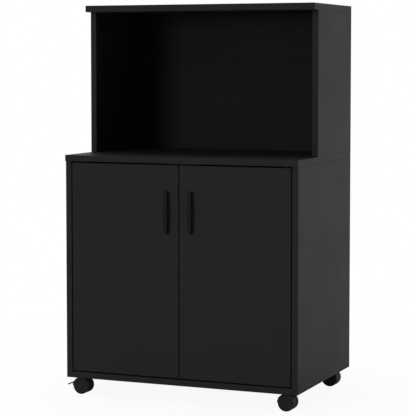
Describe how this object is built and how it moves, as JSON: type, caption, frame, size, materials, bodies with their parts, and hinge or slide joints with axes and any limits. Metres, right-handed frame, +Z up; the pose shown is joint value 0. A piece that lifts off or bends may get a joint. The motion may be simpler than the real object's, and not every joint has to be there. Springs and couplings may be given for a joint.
{
  "type": "microwave cart",
  "caption": "Tall black cart with a two-door cabinet below, an open hutch for an appliance above, and small swivel casters.",
  "frame": {"origin": "on the floor, under the middle of the cart's overall box, handles and brake levers included", "axes": "+Z up, the doors face -Y, +X to the right of someone facing the doors"},
  "size_m": [0.6142, 0.4084, 0.956],
  "materials": {
    "black_board": "black laminate with a faint satin sheen",
    "black_hardboard": "thin black board with a faint wood grain",
    "handle_black": "satin black coating",
    "caster_plastic": "black moulded plastic",
    "wheel_plastic": "black moulded plastic",
    "caster_steel": "zinc-plated sheet steel",
    "zinc_steel": "zinc plating",
    "zinc_casting": "die-cast zinc",
    "beech": "bare fluted wood",
    "nylon": "black nylon",
    "catch_plastic": "black moulded plastic",
    "magnet": "dark sintered ferrite"
  },
  "bodies": {
    "cabinet": {"left_side_panel": "black_board", "right_side_panel": "black_board", "bottom_panel": "black_board", "worktop": "black_board", "cabinet_back_panel": "black_hardboard", "inner_shelf": "black_board", "shelf_pins": "zinc_steel", "hutch_left_side": "black_board", "hutch_right_side": "black_board", "hutch_top_board": "black_board", "hutch_back_panel": "black_hardboard", "cam_bolts": "zinc_steel", "cam_locks": "zinc_casting", "wood_dowels": "beech", "pivot_bushes": "nylon", "magnetic_catch": "catch_plastic", "catch_magnets": "magnet", "catch_screws": "zinc_steel", "caster_plate_fl": "caster_steel", "caster_plate_fr": "caster_steel", "caster_plate_rl": "caster_steel", "caster_plate_rr": "caster_steel", "caster_plate_screws": "zinc_steel"},
    "left_door": {"left_door": "black_board", "left_handle": "handle_black", "left_door_screws": "zinc_steel", "left_pivot_pins": "zinc_steel", "left_strike_plate": "zinc_steel"},
    "right_door": {"right_door": "black_board", "right_handle": "handle_black", "right_door_screws": "zinc_steel", "right_pivot_pins": "zinc_steel", "right_strike_plate": "zinc_steel"},
    "caster_fl": {"caster_body_fl": "caster_plastic", "axle_fl": "zinc_steel"},
    "wheel_fl_front": {"wheel_fl_front": "wheel_plastic"},
    "wheel_fl_back": {"wheel_fl_back": "wheel_plastic"},
    "caster_fr": {"caster_body_fr": "caster_plastic", "axle_fr": "zinc_steel"},
    "wheel_fr_front": {"wheel_fr_front": "wheel_plastic"},
    "wheel_fr_back": {"wheel_fr_back": "wheel_plastic"},
    "caster_rl": {"caster_body_rl": "caster_plastic", "axle_rl": "zinc_steel"},
    "wheel_rl_front": {"wheel_rl_front": "wheel_plastic"},
    "wheel_rl_back": {"wheel_rl_back": "wheel_plastic"},
    "caster_rr": {"caster_body_rr": "caster_plastic", "axle_rr": "zinc_steel"},
    "wheel_rr_front": {"wheel_rr_front": "wheel_plastic"},
    "wheel_rr_back": {"wheel_rr_back": "wheel_plastic"},
    "brake_lever_fl": {"brake_lever_fl": "caster_plastic"},
    "brake_lever_rl": {"brake_lever_rl": "caster_plastic"}
  },
  "joints": [
    {"name": "left_door_hinge", "type": "hinge", "parent": "cabinet", "child": "left_door", "pos_m": [-0.2634, -0.18425, 0.059], "axis": [0, 0, -1], "range_deg": [0, 110]},
    {"name": "right_door_hinge", "type": "hinge", "parent": "cabinet", "child": "right_door", "pos_m": [0.2776, -0.18425, 0.059], "axis": [0, 0, 1], "range_deg": [0, 110]},
    {"name": "swivel_fl", "type": "hinge", "parent": "cabinet", "child": "caster_fl", "pos_m": [-0.2609, -0.15575, 0.034], "axis": [0, 0, 1], "continuous": true},
    {"name": "wheel_spin_fl_front", "type": "hinge", "parent": "caster_fl", "child": "wheel_fl_front", "pos_m": [-0.2649, -0.16705, 0.02025], "axis": [0, 1, 0], "continuous": true},
    {"name": "wheel_spin_fl_back", "type": "hinge", "parent": "caster_fl", "child": "wheel_fl_back", "pos_m": [-0.2649, -0.14445, 0.02025], "axis": [0, 1, 0], "continuous": true},
    {"name": "swivel_fr", "type": "hinge", "parent": "cabinet", "child": "caster_fr", "pos_m": [0.2751, -0.15575, 0.034], "axis": [0, 0, 1], "continuous": true},
    {"name": "wheel_spin_fr_front", "type": "hinge", "parent": "caster_fr", "child": "wheel_fr_front", "pos_m": [0.2711, -0.16705, 0.02025], "axis": [0, 1, 0], "continuous": true},
    {"name": "wheel_spin_fr_back", "type": "hinge", "parent": "caster_fr", "child": "wheel_fr_back", "pos_m": [0.2711, -0.14445, 0.02025], "axis": [0, 1, 0], "continuous": true},
    {"name": "swivel_rl", "type": "hinge", "parent": "cabinet", "child": "caster_rl", "pos_m": [-0.2609, 0.16825, 0.034], "axis": [0, 0, 1], "continuous": true},
    {"name": "wheel_spin_rl_front", "type": "hinge", "parent": "caster_rl", "child": "wheel_rl_front", "pos_m": [-0.2649, 0.15695, 0.02025], "axis": [0, 1, 0], "continuous": true},
    {"name": "wheel_spin_rl_back", "type": "hinge", "parent": "caster_rl", "child": "wheel_rl_back", "pos_m": [-0.2649, 0.17955, 0.02025], "axis": [0, 1, 0], "continuous": true},
    {"name": "swivel_rr", "type": "hinge", "parent": "cabinet", "child": "caster_rr", "pos_m": [0.2751, 0.16825, 0.034], "axis": [0, 0, 1], "continuous": true},
    {"name": "wheel_spin_rr_front", "type": "hinge", "parent": "caster_rr", "child": "wheel_rr_front", "pos_m": [0.2711, 0.15695, 0.02025], "axis": [0, 1, 0], "continuous": true},
    {"name": "wheel_spin_rr_back", "type": "hinge", "parent": "caster_rr", "child": "wheel_rr_back", "pos_m": [0.2711, 0.17955, 0.02025], "axis": [0, 1, 0], "continuous": true},
    {"name": "brake_fl", "type": "hinge", "parent": "caster_fl", "child": "brake_lever_fl", "pos_m": [-0.2759, -0.15575, 0.03175], "axis": [0, -1, 0], "range_deg": [0, 12]},
    {"name": "brake_rl", "type": "hinge", "parent": "caster_rl", "child": "brake_lever_rl", "pos_m": [-0.2759, 0.16825, 0.03175], "axis": [0, -1, 0], "range_deg": [0, 12]}
  ]
}
